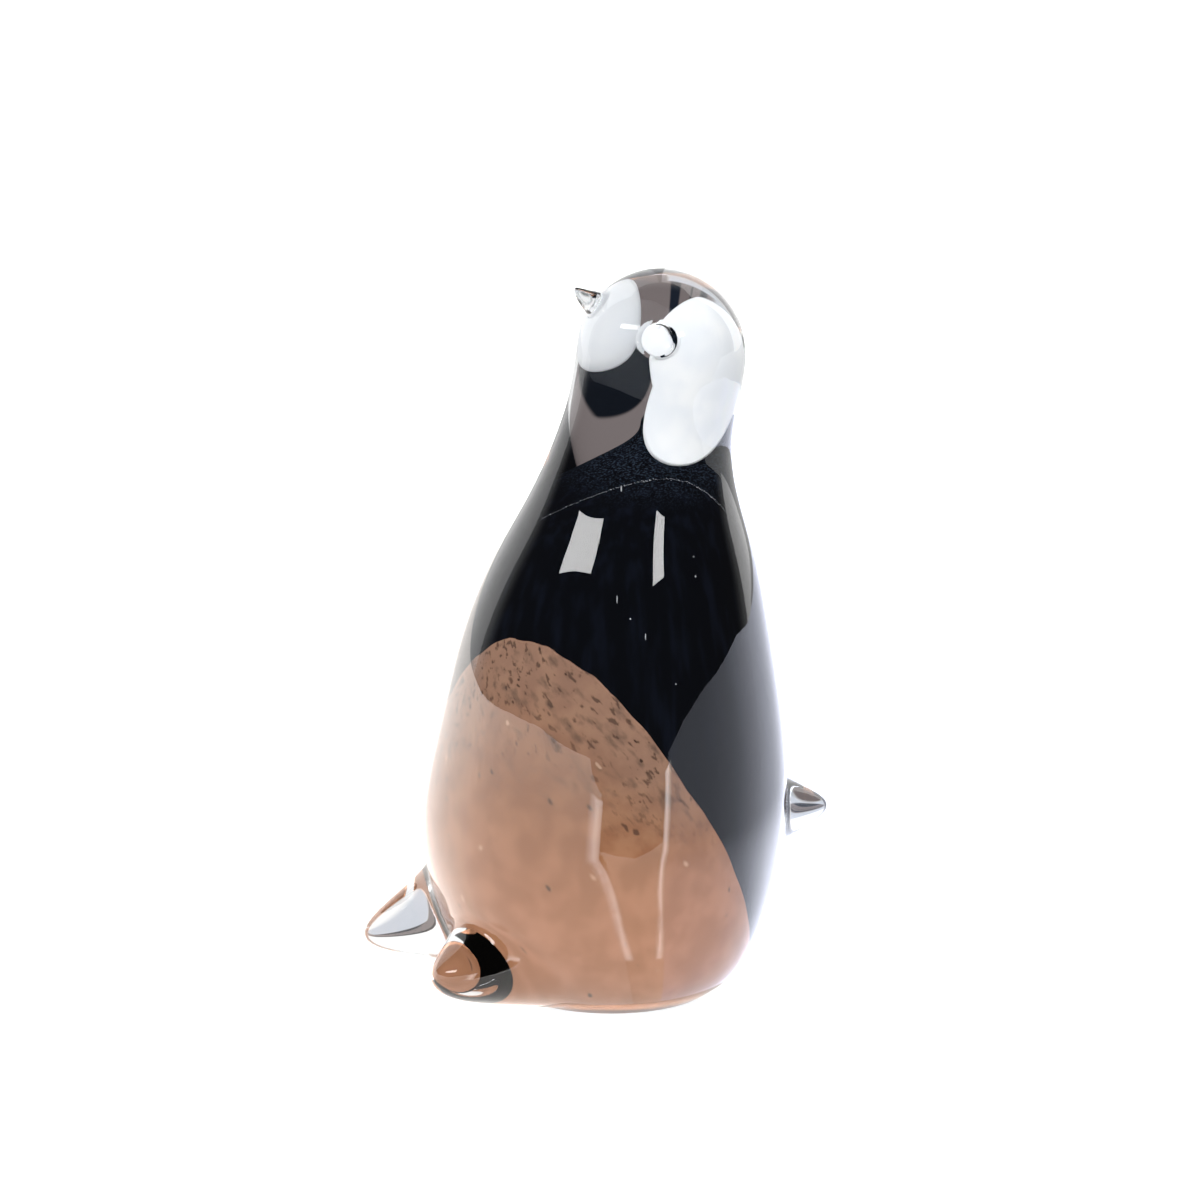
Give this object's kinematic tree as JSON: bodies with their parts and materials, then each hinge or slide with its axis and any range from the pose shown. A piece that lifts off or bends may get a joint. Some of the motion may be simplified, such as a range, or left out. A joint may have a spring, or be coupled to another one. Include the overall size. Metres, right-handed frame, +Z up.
{
  "type": "penguin figurine",
  "caption": "Solid glass penguin paperweight: clear casing over a black core with a tan belly, white cheeks, pressed eyes, and a drawn beak, feet and tail, on a ground flat.",
  "frame": {"origin": "middle of the ground flat that the penguin stands on", "axes": "+Z up, the penguin faces -Y, its left side is on +X and its tail points along +Y"},
  "size_m": [0.0594, 0.0754, 0.119],
  "materials": {
    "clear_glass": "fire-polished clear",
    "black_glass": "opaque black",
    "tan_glass": "opaque tan with seeds",
    "white_glass": "opal white"
  },
  "bodies": {
    "root": {"clear_casing": "clear_glass", "black_core": "black_glass", "tan_belly": "tan_glass", "white_cheek_left": "white_glass", "white_cheek_right": "white_glass", "beak": "clear_glass", "left_foot": "clear_glass", "right_foot": "clear_glass", "tail": "clear_glass"}
  },
  "joints": []
}
